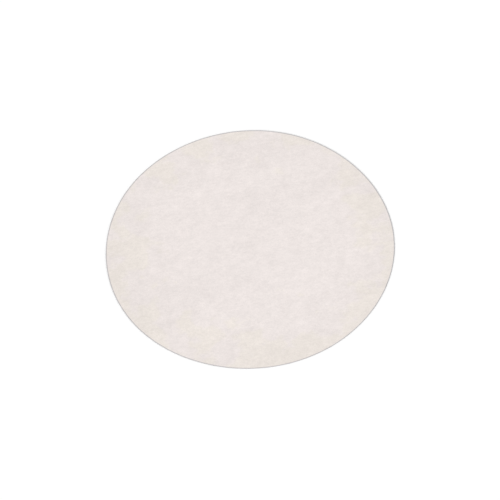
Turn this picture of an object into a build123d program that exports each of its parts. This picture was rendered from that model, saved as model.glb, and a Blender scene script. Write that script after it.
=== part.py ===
"""Filter paper disc: a flat circle punched from one sheet of plain laboratory filter paper.

Frame: millimetres, +Z up. The origin is the centre of the lower face, on the surface that the disc lies on.
+X runs along the paper's grain, the direction in which most of its fibres lie.

Discs like this are cut in a tall pile by a round punch that comes down through it. The punch drags the
upper edge of each sheet down a little, so the upper corner of the cut is rolled over, and the lower corner
stays crisper. Between the two corners the cut is a straight wall.
"""

import os

from build123d import *

# Driving dimensions, in millimetres.
DISC_DIAMETER = 125.0
SHEET_THICKNESS = 0.18
UPPER_CORNER_RADIUS = 0.06
LOWER_CORNER_RADIUS = 0.02

# The two corners together take no more than this share of the cut's height.
LARGEST_CORNER_SHARE = 0.8


def corner_radii():
    """The upper and the lower corner's radius, both reduced alike where the sheet is too thin for them."""
    wanted = UPPER_CORNER_RADIUS + LOWER_CORNER_RADIUS
    room = LARGEST_CORNER_SHARE * SHEET_THICKNESS
    scale = min(1.0, room / wanted)
    return UPPER_CORNER_RADIUS * scale, LOWER_CORNER_RADIUS * scale


def filter_paper_disc():
    """The whole disc: one sheet's thickness inside the punch's circle, with its two corners rolled."""
    upper_radius, lower_radius = corner_radii()
    stands_on_origin = (Align.CENTER, Align.CENTER, Align.MIN)
    disc = Cylinder(DISC_DIAMETER / 2, SHEET_THICKNESS, align=stands_on_origin)
    upper_corner = disc.edges().filter_by(GeomType.CIRCLE).sort_by(Axis.Z)[-1]
    disc = fillet(upper_corner, upper_radius)
    lower_corner = disc.edges().filter_by(GeomType.CIRCLE).sort_by(Axis.Z)[0]
    return fillet(lower_corner, lower_radius)


os.makedirs("parts", exist_ok=True)
export_step(filter_paper_disc(), "parts/filter_paper_disc.step")
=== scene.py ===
"""The looks of the filter paper disc: one sheet of soft, cloudy, warm white paper lying on a white surface.

Every length is in metres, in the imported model's frame: the disc lies on z = 0, +Z is up and +X is the grain
of the paper. Inside the paper's material, lengths are in millimetres. The sheet is one closed mesh. It has
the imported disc's size and section, and what real paper adds: a rim that lifts a little, faint waves, the
relief of its fibre clouds and a slightly ragged cut.
"""

import math

import bpy
import numpy as np
from mathutils import Matrix, Vector, noise


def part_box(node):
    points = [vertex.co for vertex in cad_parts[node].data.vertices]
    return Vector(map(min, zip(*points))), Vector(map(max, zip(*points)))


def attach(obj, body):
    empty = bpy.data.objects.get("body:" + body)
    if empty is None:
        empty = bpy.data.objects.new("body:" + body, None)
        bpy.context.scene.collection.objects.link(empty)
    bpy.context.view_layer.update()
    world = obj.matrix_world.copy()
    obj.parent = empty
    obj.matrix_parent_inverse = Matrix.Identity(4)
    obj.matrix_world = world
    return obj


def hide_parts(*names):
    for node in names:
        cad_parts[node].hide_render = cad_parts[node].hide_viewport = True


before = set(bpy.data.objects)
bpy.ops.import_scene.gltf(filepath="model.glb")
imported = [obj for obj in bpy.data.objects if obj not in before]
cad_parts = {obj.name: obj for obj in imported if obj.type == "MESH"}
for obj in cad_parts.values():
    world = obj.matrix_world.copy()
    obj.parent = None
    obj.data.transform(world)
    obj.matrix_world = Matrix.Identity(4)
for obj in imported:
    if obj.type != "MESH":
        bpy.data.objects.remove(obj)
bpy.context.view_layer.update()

MM = 0.001
NODE = "filter_paper_disc"

# The disc, as it was packed.
disc_low, disc_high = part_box(NODE)
RADIUS = max(disc_high.x, disc_high.y)
THICKNESS = disc_high.z - disc_low.z
FLOOR_HEIGHT = disc_low.z

# The cut edge: the punch rolls the upper corner over and leaves the lower one crisper.
UPPER_CORNER = THICKNESS / 3
LOWER_CORNER = THICKNESS / 9
FLAT_BESIDE_CORNER = 0.25 * MM

# The mesh: square cells pulled onto the disc, and the rings round the cut edge.
CELLS_ACROSS = 200
UPPER_CORNER_STEPS = 4
LOWER_CORNER_STEPS = 2
WALL_STEPS = 2

# How the sheet lies. Each row is a number of waves round the rim, a height and the angle of a crest.
RIM_LIFT = 0.33 * MM
RIM_LIFT_WAVES = ((1, 0.27 * MM, 100),)
RIM_LIFT_STEEPNESS = 3
COCKLE_HEIGHT = 0.03 * MM
COCKLE_LENGTH = 24 * MM
COCKLE_SEED = 7

# The relief of the fibre clouds, as (length, height) rows. It fades out towards the cut.
RELIEF_OCTAVES = ((6.0 * MM, 0.010 * MM), (3.0 * MM, 0.007 * MM), (1.5 * MM, 0.005 * MM))
RELIEF_FADE = 2 * MM
UPPER_FACE_SEED = 10
LOWER_FACE_SEED = 20

# How far the cut is from a true circle: slow lobes, as rows like those above, then a fine raggedness.
OUTLINE_WAVES = ((3, 0.15 * MM, 90), (5, 0.08 * MM, 0))
RAGGED_CUT = ((7.0 * MM, 0.035 * MM), (1.6 * MM, 0.020 * MM))
RAGGED_CUT_SEED = 40

# The painted shadow line beside the cut is wider on one side: a wave's count, share of the width and crest,
# as above. This is a choice of looks, not a known feature of the paper.
EDGE_SHADOW_WAVE = ((1, 0.3, 110),)

# The paper's grain: its clouds are longer along X than across it, and lean a little.
GRAIN_STRETCH = 1.35
GRAIN_LEAN = math.radians(7)

# How far apart the seeds of the mesh's noise lie.
SEED_STEP = Vector((17.3, -9.1, 3.7))


def waves(angle, rows):
    """The sum of cosine waves round the rim at each angle."""
    return sum(height * np.cos(count * (angle - math.radians(crest))) for count, height, crest in rows)


def lumps(x, y, length, seed):
    """Smooth noise, mostly between -0.5 and 0.5, at each point. Its lumps are about half of length across."""
    shift = SEED_STEP * seed
    flat = [noise.noise(Vector((a, b, 0)) / length + shift) for a, b in zip(x.ravel(), y.ravel())]
    return np.array(flat).reshape(x.shape)


def grain_point(x, y):
    """The points turned and shrunk so that noise read at them is drawn out along the paper's grain."""
    along = x * math.cos(GRAIN_LEAN) + y * math.sin(GRAIN_LEAN)
    across = y * math.cos(GRAIN_LEAN) - x * math.sin(GRAIN_LEAN)
    return along / GRAIN_STRETCH, across


def outline(angle):
    """The radius of the cut at each angle."""
    radius = RADIUS + waves(angle, OUTLINE_WAVES)
    x, y = RADIUS * np.cos(angle), RADIUS * np.sin(angle)
    for seed, (length, height) in enumerate(RAGGED_CUT, RAGGED_CUT_SEED):
        radius = radius + height * lumps(x, y, length, seed)
    return radius


def lift(x, y):
    """The height of the sheet's underside over the floor."""
    angle = np.arctan2(y, x)
    share = np.hypot(x, y) / RADIUS
    rim = (RIM_LIFT + waves(angle, RIM_LIFT_WAVES)) * share**RIM_LIFT_STEEPNESS
    return rim + COCKLE_HEIGHT * lumps(*grain_point(x, y), COCKLE_LENGTH, COCKLE_SEED)


def relief(x, y, seed):
    """How far the fibre clouds stand out of a face of the sheet."""
    inside = np.clip((RADIUS - np.hypot(x, y)) / RELIEF_FADE, 0, 1)
    bumps = sum(
        height * lumps(*grain_point(x, y), length, seed + octave)
        for octave, (length, height) in enumerate(RELIEF_OCTAVES)
    )
    return bumps * inside


def unit_disc_grid():
    """The x and y of a square grid of points pulled onto the unit disc, which keeps its cells about equal."""
    steps = np.linspace(-1, 1, CELLS_ACROSS + 1)
    across, up = np.meshgrid(steps, steps)
    wide = np.abs(across) > np.abs(up)
    larger = np.where(wide, across, up)
    smaller = np.where(wide, up, across)
    turn = math.pi / 4 * np.divide(smaller, larger, out=np.zeros_like(larger), where=larger != 0)
    x = larger * np.where(wide, np.cos(turn), np.sin(turn))
    y = larger * np.where(wide, np.sin(turn), np.cos(turn))
    return x, y


def edge_of_grid():
    """The places in a flattened grid of its outer points, anticlockwise seen from above."""
    side = CELLS_ACROSS + 1
    places = np.arange(side * side).reshape(side, side)
    return np.concatenate([places[0, :-1], places[:-1, -1], places[-1, :0:-1], places[:0:-1, 0]])


def edge_section():
    """The section of the cut as (inset from the outline, height), from the upper face round to the lower."""
    points = [(FLAT_BESIDE_CORNER, THICKNESS)]
    for step in range(UPPER_CORNER_STEPS + 1):
        turn = math.pi / 2 * step / UPPER_CORNER_STEPS
        inset = UPPER_CORNER * (1 - math.sin(turn))
        points.append((inset, THICKNESS - UPPER_CORNER * (1 - math.cos(turn))))
    wall_top, wall_bottom = THICKNESS - UPPER_CORNER, LOWER_CORNER
    for step in range(1, WALL_STEPS):
        points.append((0, wall_top + (wall_bottom - wall_top) * step / WALL_STEPS))
    for step in range(LOWER_CORNER_STEPS + 1):
        turn = math.pi / 2 * step / LOWER_CORNER_STEPS
        points.append((LOWER_CORNER * (1 - math.cos(turn)), LOWER_CORNER * (1 - math.sin(turn))))
    points.append((FLAT_BESIDE_CORNER, 0))
    return points


def grid_faces(start, upward):
    """The square faces of one grid whose points begin at start."""
    side = CELLS_ACROSS + 1
    corner = (np.arange(side - 1)[:, None] * side + np.arange(side - 1)).ravel() + start
    faces = np.stack([corner, corner + 1, corner + side + 1, corner + side], 1)
    return faces if upward else faces[:, ::-1]


def ring_faces(upper, lower):
    """The faces between two rings of points that run anticlockwise, the first above the second."""
    return np.stack([upper, lower, np.roll(lower, -1), np.roll(upper, -1)], 1)


def sheet_mesh():
    """The sheet's points, its groups of faces, and each point's distance from the cut.

    The distance is stretched or shrunk so that the painted shadow line beside the cut gets its uneven width.
    """
    unit_x, unit_y = (grid.ravel() for grid in unit_disc_grid())
    angle = np.arctan2(unit_y, unit_x)
    share = np.hypot(unit_x, unit_y)
    cut = outline(angle)
    section = edge_section()

    def face_points(inset, height, seed):
        reach = share * (cut - inset)
        x, y = reach * np.cos(angle), reach * np.sin(angle)
        return np.stack([x, y, lift(x, y) + height + relief(x, y, seed)], 1)

    edge = edge_of_grid()
    points = [face_points(*section[0], UPPER_FACE_SEED), face_points(*section[-1], LOWER_FACE_SEED)]
    count = len(unit_x)
    rings = [edge]
    for inset, height in section[1:-1]:
        reach = cut[edge] - inset
        x, y = reach * np.cos(angle[edge]), reach * np.sin(angle[edge])
        rings.append(np.arange(len(edge)) + sum(len(part) for part in points))
        points.append(np.stack([x, y, lift(x, y) + height], 1))
    rings.append(edge + count)

    faces = [grid_faces(0, True), grid_faces(count, False)]
    faces += [ring_faces(upper, lower) for upper, lower in zip(rings, rings[1:])]
    points = np.concatenate(points)
    points[:, 2] += FLOOR_HEIGHT - points[:, 2].min()
    round_the_rim = np.arctan2(points[:, 1], points[:, 0])
    from_cut = outline(round_the_rim) - np.hypot(points[:, 0], points[:, 1])
    return points, faces, from_cut / (1 + waves(round_the_rim, EDGE_SHADOW_WAVE))


# The bake map: the two faces as circles in opposite corners of the image, and the cut edge in short strips
# in a free corner.
MAP_CIRCLE = 0.29
MAP_UPPER_FACE = (0.295, 0.295)
MAP_LOWER_FACE = (0.705, 0.705)
MAP_STRIPS = 8
MAP_STRIP_CORNER = (0.02, 0.70)
MAP_STRIP_LENGTH = 0.34
MAP_STRIP_WIDTH = 0.012
MAP_STRIP_SPACING = 0.03

# The mesh's own record of how many millimetres each point lies inside the cut, stretched or shrunk round the
# rim to set the width of the painted shadow line beside the cut.
FROM_CUT = "from_cut"


def bake_map(points, faces):
    """Where each face corner goes in the image that the paper's colours can be baked to."""
    scale = MAP_CIRCLE / RADIUS
    upper = np.array(MAP_UPPER_FACE) + points[faces[0]][:, :, :2] * scale
    lower = np.array(MAP_LOWER_FACE) + points[faces[1]][:, :, :2] * scale * (-1, 1)
    places = [upper, lower]
    ring_count = len(faces) - 2
    round_the_rim = len(faces[2])
    per_strip = round_the_rim // MAP_STRIPS
    step = np.arange(round_the_rim)
    strip, along = step // per_strip, step % per_strip
    for ring in range(ring_count):
        left, right = (MAP_STRIP_CORNER[0] + MAP_STRIP_LENGTH * (along + k) / per_strip for k in (0, 1))
        base = MAP_STRIP_CORNER[1] + strip * MAP_STRIP_SPACING
        high, low = (base + MAP_STRIP_WIDTH * (1 - (ring + k) / ring_count) for k in (0, 1))
        corners = [(left, high), (left, low), (right, low), (right, high)]
        places.append(np.stack([np.stack(corner, 1) for corner in corners], 1))
    return np.concatenate(places)


def make_sheet():
    """The sheet object, smooth shaded, with its bake map."""
    points, faces, from_cut = sheet_mesh()
    places = bake_map(points, faces)
    mesh = bpy.data.meshes.new("filter_paper_sheet")
    mesh.from_pydata(points.tolist(), [], np.concatenate(faces).tolist())
    mesh.polygons.foreach_set("use_smooth", [True] * len(mesh.polygons))
    mesh.uv_layers.new(name="OFBake").data.foreach_set("uv", places.ravel())
    mesh.attributes.new(FROM_CUT, "FLOAT", "POINT").data.foreach_set("value", from_cut / MM)
    mesh.update()
    sheet = bpy.data.objects.new("filter_paper_sheet", mesh)
    bpy.context.scene.collection.objects.link(sheet)
    return sheet


# The colour sockets of a Mix node, which shares their names with its other sockets.
MIX_SHARE, MIX_FIRST, MIX_SECOND, MIX_RESULT = 0, 6, 7, 2
# The number that a Vector Math node scales by.
VECTOR_SCALE = 3


def add(tree, kind, inputs=None, output=0, **settings):
    """Adds a shader node and returns one of its outputs. An input is a value or another node's output."""
    made = tree.nodes.new("ShaderNode" + kind)
    for name, value in settings.items():
        setattr(made, name, value)
    for name, value in (inputs or {}).items():
        if isinstance(value, bpy.types.NodeSocket):
            tree.links.new(value, made.inputs[name])
        else:
            made.inputs[name].default_value = value
    return made.outputs[output]


def calculate(tree, operation, *values):
    """One step of arithmetic on numbers or node outputs."""
    return add(tree, "Math", dict(enumerate(values)), operation=operation)


def remap(tree, value, low, high, to_low=0.0, to_high=1.0):
    """Turns low..high into to_low..to_high with soft ends, and holds it there outside them."""
    span = {"Value": value, "From Min": low, "From Max": high, "To Min": to_low, "To Max": to_high}
    return add(tree, "MapRange", span, interpolation_type="SMOOTHSTEP")


def blend_colours(tree, share, first, second):
    """The first colour where share is 0 and the second where it is 1."""
    a, b = ((*colour, 1) if isinstance(colour, tuple) else colour for colour in (first, second))
    inputs = {MIX_SHARE: share, MIX_FIRST: a, MIX_SECOND: b}
    return add(tree, "Mix", inputs, output=MIX_RESULT, data_type="RGBA")


def grain_place(tree, millimetres, turn_degrees, along, across):
    """The place on the sheet, turned and shrunk, so that noise read there has lumps along by across."""
    turn = {"Vector": millimetres, "Angle": -math.radians(turn_degrees)}
    turned = add(tree, "VectorRotate", turn, rotation_type="Z_AXIS")
    shrink = (1 / along, 1 / across, 1.0)
    return add(tree, "VectorMath", {0: turned, 1: shrink}, operation="MULTIPLY")


def distance(tree, millimetres, centre):
    """How far each place on the sheet is from a centre, given by its x and y."""
    ends = {0: millimetres, 1: (*centre, 0)}
    return add(tree, "VectorMath", ends, output="Value", operation="DISTANCE")


# Layered noise averages about this, and its seeds lie this far apart.
NOISE_AVERAGE = 0.5
NOISE_SEED_STEP = (31.7, 17.9)


def mottling(tree, millimetres, turn_degrees, along, across, detail, roughness, seed):
    """Layered noise whose coarsest lumps are along by across, turned by so many degrees."""
    place = grain_place(tree, millimetres, turn_degrees, along, across)
    shift = (NOISE_SEED_STEP[0] * seed, NOISE_SEED_STEP[1] * seed, 0)
    shifted = add(tree, "VectorMath", {0: place, 1: shift}, operation="ADD")
    settings = {"Vector": shifted, "Scale": 1.0, "Detail": detail, "Roughness": roughness}
    return add(tree, "TexNoise", settings, noise_dimensions="2D")


# The fibres lie every way, but mostly along the grain. Each layer is its angle in degrees, length, spacing
# and share. A fibre is where its layer's noise is within FIBRE_LINE of the average.
FIBRE_LAYERS = ((4, 3.4, 0.62, 1.0), (-28, 2.6, 0.70, 0.8), (41, 2.4, 0.66, 0.7), (83, 2.2, 0.80, 0.5))
FIBRE_LINE = 0.05
FIBRE_DETAIL = 2.0
FIBRE_ROUGHNESS = 0.5
FIBRE_SEED = 11


def fibre_web(tree, millimetres):
    """Fine curved lines that cross one another, as fibres do in a felt: 1 on a fibre and 0 off it."""
    total = 0.0
    for seed, (angle, length, spacing, share) in enumerate(FIBRE_LAYERS, FIBRE_SEED):
        field = mottling(tree, millimetres, angle, length, spacing, FIBRE_DETAIL, FIBRE_ROUGHNESS, seed)
        from_line = calculate(tree, "ABSOLUTE", calculate(tree, "SUBTRACT", field, NOISE_AVERAGE))
        line = remap(tree, from_line, 0.0, FIBRE_LINE, share, 0.0)
        total = calculate(tree, "ADD", total, line)
    return calculate(tree, "DIVIDE", total, sum(layer[3] for layer in FIBRE_LAYERS))


# The paper's colours, as linear reflectance: fresh, aged near the rim, and the grey of a painted shadow line
# beside the cut, which stands in for the shade at the sheet's edge.
FRESH_COLOUR = (0.853, 0.788, 0.765)
AGED_COLOUR = (0.851, 0.789, 0.738)
EDGE_SHADOW_COLOUR = (0.540, 0.515, 0.520)

# Kinds of noise: turn in degrees, length, width, detail, roughness and seed.
CLOUDS = (7, 7.2, 5.4, 7.0, 1.0, 1)
PATCHES = (9, 52.0, 18.0, 1.0, 0.6, 6)
STAIN = (0, 16.0, 14.0, 3.0, 0.6, 5)
FELT = (7, 0.9, 0.6, 3.0, 0.6, 3)

# How far each kind of mottling moves the brightness.
CLOUD_CONTRAST = 0.45
PATCH_CONTRAST = 0.07
FIBRE_CONTRAST = 0.12
FIBRE_AVERAGE = 0.24

# The aged colour takes over between these distances from its centre, and the stain shifts them by up to half
# of AGED_SPREAD. The paper also darkens slightly outwards from one bright place near its centre.
AGED_CENTRE = (1.5, 4.0)
AGED_RING = (50.0, 61.5)
AGED_SPREAD = 90.0
BRIGHT_CENTRE = (4.0, -5.0)
MARGIN_RING = (34.0, 66.0)
MARGIN_DARKENING = 0.028

# The painted shadow line beside the cut is whole up to the first distance from the cut and gone at the
# second.
EDGE_SHADOW_WIDTH = (0.20, 0.52)

# The surface.
ROUGHNESS_OFF_FIBRES = 0.97
ROUGHNESS_ON_FIBRES = 0.86
SPECULAR_LEVEL = 0.3
SHEEN = 0.05
SHEEN_ROUGHNESS = 0.6
BUMP_HEIGHT = 0.03 * MM
BUMP_FELT_SHARE = 0.6


def paper_colour(tree, millimetres, fibres):
    """Warm white, yellower near the rim, with a painted grey shadow line beside the cut, cloudy with fibre.
    """
    stain = calculate(tree, "SUBTRACT", mottling(tree, millimetres, *STAIN), NOISE_AVERAGE)
    spread = calculate(tree, "MULTIPLY", stain, AGED_SPREAD)
    from_aged_centre = distance(tree, millimetres, AGED_CENTRE)
    aged = remap(tree, calculate(tree, "ADD", from_aged_centre, spread), *AGED_RING)
    colour = blend_colours(tree, aged, FRESH_COLOUR, AGED_COLOUR)

    # Painted shadow: a grey line along the cut that stands in for the shade where the sheet's edge meets the
    # floor.
    from_cut = add(tree, "Attribute", output="Fac", attribute_name=FROM_CUT)
    edge_shadow = remap(tree, from_cut, *EDGE_SHADOW_WIDTH, 1.0, 0.0)
    colour = blend_colours(tree, edge_shadow, colour, EDGE_SHADOW_COLOUR)

    from_bright_centre = distance(tree, millimetres, BRIGHT_CENTRE)
    shade = remap(tree, from_bright_centre, *MARGIN_RING, 1.0, 1.0 - MARGIN_DARKENING)
    clouds = mottling(tree, millimetres, *CLOUDS)
    patches = mottling(tree, millimetres, *PATCHES)
    for pattern, average, contrast in (
        (clouds, NOISE_AVERAGE, CLOUD_CONTRAST),
        (patches, NOISE_AVERAGE, PATCH_CONTRAST),
        (fibres, FIBRE_AVERAGE, FIBRE_CONTRAST),
    ):
        change = calculate(tree, "MULTIPLY", calculate(tree, "SUBTRACT", pattern, average), contrast)
        shade = calculate(tree, "ADD", shade, change)
    return add(tree, "VectorMath", {0: colour, VECTOR_SCALE: shade}, operation="SCALE")


def paper_material():
    """Plain filter paper, quite matt, with a felt of fibres that stand out a little."""
    material = bpy.data.materials.new("filter_paper")
    material.use_nodes = True
    tree = material.node_tree
    shader = tree.nodes["Principled BSDF"]

    place = add(tree, "TexCoord", output="Object")
    millimetres = add(tree, "VectorMath", {0: place, 1: (1 / MM, 1 / MM, 0)}, operation="MULTIPLY")
    fibres = fibre_web(tree, millimetres)
    tree.links.new(paper_colour(tree, millimetres, fibres), shader.inputs["Base Color"])

    rough = remap(tree, fibres, 0.0, 1.0, ROUGHNESS_OFF_FIBRES, ROUGHNESS_ON_FIBRES)
    tree.links.new(rough, shader.inputs["Roughness"])
    shader.inputs["Specular IOR Level"].default_value = SPECULAR_LEVEL
    shader.inputs["Sheen Weight"].default_value = SHEEN
    shader.inputs["Sheen Roughness"].default_value = SHEEN_ROUGHNESS

    felt = calculate(tree, "MULTIPLY", mottling(tree, millimetres, *FELT), BUMP_FELT_SHARE)
    raised = calculate(tree, "MULTIPLY", fibres, 1.0 - BUMP_FELT_SHARE)
    height = calculate(tree, "ADD", felt, raised)
    bump = add(tree, "Bump", {"Height": height, "Strength": 1.0, "Distance": BUMP_HEIGHT})
    tree.links.new(bump, shader.inputs["Normal"])
    return material


def seen_directly(tree):
    """1 for camera, mirror and glass rays, and 0 for the rays that carry soft light."""
    rays = tree.nodes.new("ShaderNodeLightPath")
    mirror = calculate(tree, "MAXIMUM", rays.outputs["Is Glossy Ray"], rays.outputs["Is Transmission Ray"])
    return calculate(tree, "MAXIMUM", rays.outputs["Is Camera Ray"], mirror)


# The light: a white surround, and a broad soft lamp from the front left. Together they come to 1 on the
# floor.
SURROUND = 0.72
KEY_SHARE = 1 - SURROUND
KEY_HEIGHT = math.radians(40)
KEY_BEARING = math.radians(238)
KEY_SOFTNESS = math.radians(26)

# The floor. It sends back the share FLOOR_BOUNCE of the light, and shows white with a trace of glow.
FLOOR_HALF_WIDTH = 3.0
FLOOR_BOUNCE = 0.80
FLOOR_GLOW = 0.03


def make_surround():
    """A white world that lights from all round, and shows as pure white."""
    world = bpy.data.worlds.new("surround")
    world.use_nodes = True
    tree = world.node_tree
    background = tree.nodes["Background"]
    background.inputs["Color"].default_value = (1, 1, 1, 1)
    strength = remap(tree, seen_directly(tree), 0.0, 1.0, SURROUND, 1.0)
    tree.links.new(strength, background.inputs["Strength"])
    bpy.context.scene.world = world


def make_key_lamp():
    """One broad distant lamp, whose light is the same all over the floor."""
    lamp = bpy.data.lights.new("key", "SUN")
    lamp.energy = KEY_SHARE * math.pi / math.sin(KEY_HEIGHT)
    lamp.angle = KEY_SOFTNESS
    key = bpy.data.objects.new("key", lamp)
    towards_lamp = Vector(
        (
            math.cos(KEY_HEIGHT) * math.cos(KEY_BEARING),
            math.cos(KEY_HEIGHT) * math.sin(KEY_BEARING),
            math.sin(KEY_HEIGHT),
        )
    )
    key.rotation_mode = "QUATERNION"
    key.rotation_quaternion = towards_lamp.to_track_quat("Z", "Y")
    bpy.context.scene.collection.objects.link(key)


def make_floor():
    """A plain white surface that takes the sheet's shadow."""
    material = bpy.data.materials.new("white_floor")
    material.use_nodes = True
    tree = material.node_tree
    shader = tree.nodes["Principled BSDF"]
    seen = seen_directly(tree)
    bounce = (FLOOR_BOUNCE,) * 3
    tree.links.new(blend_colours(tree, seen, bounce, (1.0, 1.0, 1.0)), shader.inputs["Base Color"])
    shader.inputs["Roughness"].default_value = 1.0
    shader.inputs["Specular IOR Level"].default_value = 0.0
    shader.inputs["Emission Color"].default_value = (1, 1, 1, 1)
    tree.links.new(calculate(tree, "MULTIPLY", seen, FLOOR_GLOW), shader.inputs["Emission Strength"])

    half = FLOOR_HALF_WIDTH
    corners = [(-half, -half), (half, -half), (half, half), (-half, half)]
    mesh = bpy.data.meshes.new("floor")
    mesh.from_pydata([(x, y, FLOOR_HEIGHT) for x, y in corners], [], [(0, 1, 2, 3)])
    mesh.materials.append(material)
    floor = bpy.data.objects.new("floor", mesh)
    bpy.context.scene.collection.objects.link(floor)


# The camera looks along +Y and down at the disc, and is rolled a little.
LENS = 80.0
SENSOR = 36.0
CAMERA_ELEVATION = math.radians(55.45)
CAMERA_ROLL = math.radians(4.22)
CAMERA_DISTANCE = 479.9 * MM
CAMERA_AIM = Vector((0, -4.36 * MM, 0))
NEAREST_SEEN = 10 * MM


def make_camera():
    """The camera, as far off as makes the disc fill a little over half of the picture's width."""
    camera = bpy.data.cameras.new("camera")
    camera.lens = LENS
    camera.sensor_width = SENSOR
    camera.clip_start = NEAREST_SEEN
    back = Vector((0, -math.cos(CAMERA_ELEVATION), math.sin(CAMERA_ELEVATION)))
    turn = back.to_track_quat("Z", "Y").to_matrix() @ Matrix.Rotation(-CAMERA_ROLL, 3, "Z")
    viewer = bpy.data.objects.new("camera", camera)
    viewer.matrix_world = Matrix.Translation(CAMERA_AIM + back * CAMERA_DISTANCE) @ turn.to_4x4()
    bpy.context.scene.collection.objects.link(viewer)
    bpy.context.scene.camera = viewer


make_camera()
make_surround()
make_key_lamp()
make_floor()

sheet = make_sheet()
sheet.data.materials.append(paper_material())
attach(sheet, "root")
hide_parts(NODE)

bpy.context.scene.view_settings.view_transform = "Standard"
